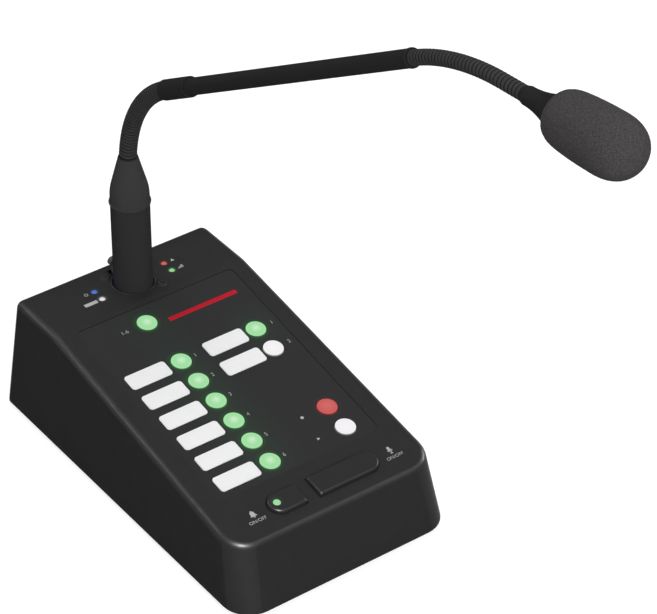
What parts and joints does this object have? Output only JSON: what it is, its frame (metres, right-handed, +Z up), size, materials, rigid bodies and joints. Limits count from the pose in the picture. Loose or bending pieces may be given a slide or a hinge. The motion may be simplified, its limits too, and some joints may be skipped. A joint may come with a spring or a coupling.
{
  "type": "zone paging microphone",
  "caption": "Desktop paging microphone: a sloping keypad base with lit zone buttons and front keys, and a plug-in gooseneck with a foam-covered head.",
  "frame": {"origin": "Centre of the base's footprint, on the desk.", "axes": "+X is the user's right, -Y faces the user, +Z is up."},
  "size_m": [0.1288, 0.3977, 0.3555],
  "materials": {
    "housing": "fine moulded texture",
    "panel": "satin film",
    "label": "plain white",
    "green_lens": "lit lens",
    "white_lens": "lit lens",
    "red_lens": "lit lens",
    "blue_lens": "lit lens",
    "rubber": "plain",
    "steel": "plain",
    "dark_steel": "blackened",
    "circuit_board": "plain",
    "switch_body": "plain",
    "lamp_body": "plain",
    "contact": "plated",
    "latch": "plain",
    "neck": "satin black",
    "foam": "open-cell foam"
  },
  "bodies": {
    "base": {"top_cover": "housing", "base_plate": "housing", "rubber_feet": "rubber", "base_screws": "steel", "overlay_panel": "panel", "zone_label_1": "label", "zone_label_2": "label", "zone_label_3": "label", "zone_label_4": "label", "zone_label_5": "label", "zone_label_6": "label", "message_label_1": "label", "message_label_2": "label", "key_board": "circuit_board", "key_switches": "switch_body", "key_lamps": "lamp_body", "power_light": "blue_lens", "ready_light": "white_lens", "clip_light": "red_lens", "signal_light": "green_lens", "light_board": "circuit_board", "socket_shell": "dark_steel", "socket_insert": "switch_body", "socket_contacts": "contact", "latch_spring": "steel", "socket_screws": "dark_steel", "main_board": "circuit_board", "link_socket": "switch_body", "board_screws": "steel"},
    "all_zones_button": {"all_zones_button": "green_lens"},
    "zone_button_1": {"zone_button_1": "green_lens"},
    "zone_button_2": {"zone_button_2": "green_lens"},
    "zone_button_3": {"zone_button_3": "green_lens"},
    "zone_button_4": {"zone_button_4": "green_lens"},
    "zone_button_5": {"zone_button_5": "green_lens"},
    "zone_button_6": {"zone_button_6": "green_lens"},
    "message_button_1": {"message_button_1": "green_lens"},
    "message_button_2": {"message_button_2": "white_lens"},
    "record_button": {"record_button": "red_lens"},
    "play_button": {"play_button": "white_lens"},
    "chime_key": {"chime_key": "housing", "chime_light": "green_lens"},
    "talk_key": {"talk_key": "housing"},
    "latch": {"socket_latch": "latch"},
    "plug": {"plug_barrel": "neck", "plug_insert": "switch_body", "plug_pins": "contact", "neck_boot": "neck"},
    "lower_neck": {"lower_flex": "neck"},
    "arm": {"arm_sleeve": "neck", "arm_tube": "neck"},
    "upper_neck": {"upper_flex": "neck"},
    "head": {"head_boot": "rubber", "mic_capsule": "neck", "foam_windscreen": "foam"}
  },
  "joints": [
    {"name": "all_zones_press", "type": "slide", "parent": "base", "child": "all_zones_button", "axis": [0, 0.1736, -0.9848], "range_m": [0, 0.0008], "stiffness_N_per_m": 600, "springref_m": -0.0005},
    {"name": "zone_1_press", "type": "slide", "parent": "base", "child": "zone_button_1", "axis": [0, 0.1736, -0.9848], "range_m": [0, 0.0008], "stiffness_N_per_m": 600, "springref_m": -0.0005},
    {"name": "zone_2_press", "type": "slide", "parent": "base", "child": "zone_button_2", "axis": [0, 0.1736, -0.9848], "range_m": [0, 0.0008], "stiffness_N_per_m": 600, "springref_m": -0.0005},
    {"name": "zone_3_press", "type": "slide", "parent": "base", "child": "zone_button_3", "axis": [0, 0.1736, -0.9848], "range_m": [0, 0.0008], "stiffness_N_per_m": 600, "springref_m": -0.0005},
    {"name": "zone_4_press", "type": "slide", "parent": "base", "child": "zone_button_4", "axis": [0, 0.1736, -0.9848], "range_m": [0, 0.0008], "stiffness_N_per_m": 600, "springref_m": -0.0005},
    {"name": "zone_5_press", "type": "slide", "parent": "base", "child": "zone_button_5", "axis": [0, 0.1736, -0.9848], "range_m": [0, 0.0008], "stiffness_N_per_m": 600, "springref_m": -0.0005},
    {"name": "zone_6_press", "type": "slide", "parent": "base", "child": "zone_button_6", "axis": [0, 0.1736, -0.9848], "range_m": [0, 0.0008], "stiffness_N_per_m": 600, "springref_m": -0.0005},
    {"name": "message_1_press", "type": "slide", "parent": "base", "child": "message_button_1", "axis": [0, 0.1736, -0.9848], "range_m": [0, 0.0008], "stiffness_N_per_m": 600, "springref_m": -0.0005},
    {"name": "message_2_press", "type": "slide", "parent": "base", "child": "message_button_2", "axis": [0, 0.1736, -0.9848], "range_m": [0, 0.0008], "stiffness_N_per_m": 600, "springref_m": -0.0005},
    {"name": "record_press", "type": "slide", "parent": "base", "child": "record_button", "axis": [0, 0.1736, -0.9848], "range_m": [0, 0.0008], "stiffness_N_per_m": 600, "springref_m": -0.0005},
    {"name": "play_press", "type": "slide", "parent": "base", "child": "play_button", "axis": [0, 0.1736, -0.9848], "range_m": [0, 0.0008], "stiffness_N_per_m": 600, "springref_m": -0.0005},
    {"name": "chime_press", "type": "slide", "parent": "base", "child": "chime_key", "axis": [0, 0.1736, -0.9848], "range_m": [0, 0.0008], "stiffness_N_per_m": 600, "springref_m": -0.0005},
    {"name": "talk_press", "type": "slide", "parent": "base", "child": "talk_key", "axis": [0, 0.1736, -0.9848], "range_m": [0, 0.0008], "stiffness_N_per_m": 600, "springref_m": -0.0005},
    {"name": "latch_press", "type": "slide", "parent": "base", "child": "latch", "axis": [0, 0, -1], "range_m": [0, 0.0015], "stiffness_N_per_m": 700, "springref_m": -0.0006, "deforming": ["latch_spring"]},
    {"name": "neck_unplug", "type": "slide", "parent": "base", "child": "plug", "axis": [0, 0, 1], "range_m": [0, 0.03]},
    {"name": "lower_tilt", "type": "hinge", "parent": "plug", "child": "lower_neck", "pos_m": [0, 0.07652, 0.16154], "axis": [1, 0, 0], "range_deg": [-45, 35], "deforming": ["lower_flex"]},
    {"name": "lower_swing", "type": "hinge", "parent": "lower_neck", "child": "arm", "pos_m": [0, 0.05755, 0.19131], "axis": [0, 0.6978, 0.7163], "range_deg": [-45, 45], "deforming": ["lower_flex"]},
    {"name": "upper_tilt", "type": "hinge", "parent": "arm", "child": "upper_neck", "pos_m": [0, -0.16559, 0.32619], "axis": [1, 0, 0], "range_deg": [-50, 40], "deforming": ["upper_flex"]},
    {"name": "upper_swing", "type": "hinge", "parent": "upper_neck", "child": "head", "pos_m": [0, -0.20253, 0.33591], "axis": [0, 0.115, 0.9934], "range_deg": [-50, 50], "deforming": ["upper_flex"]}
  ]
}
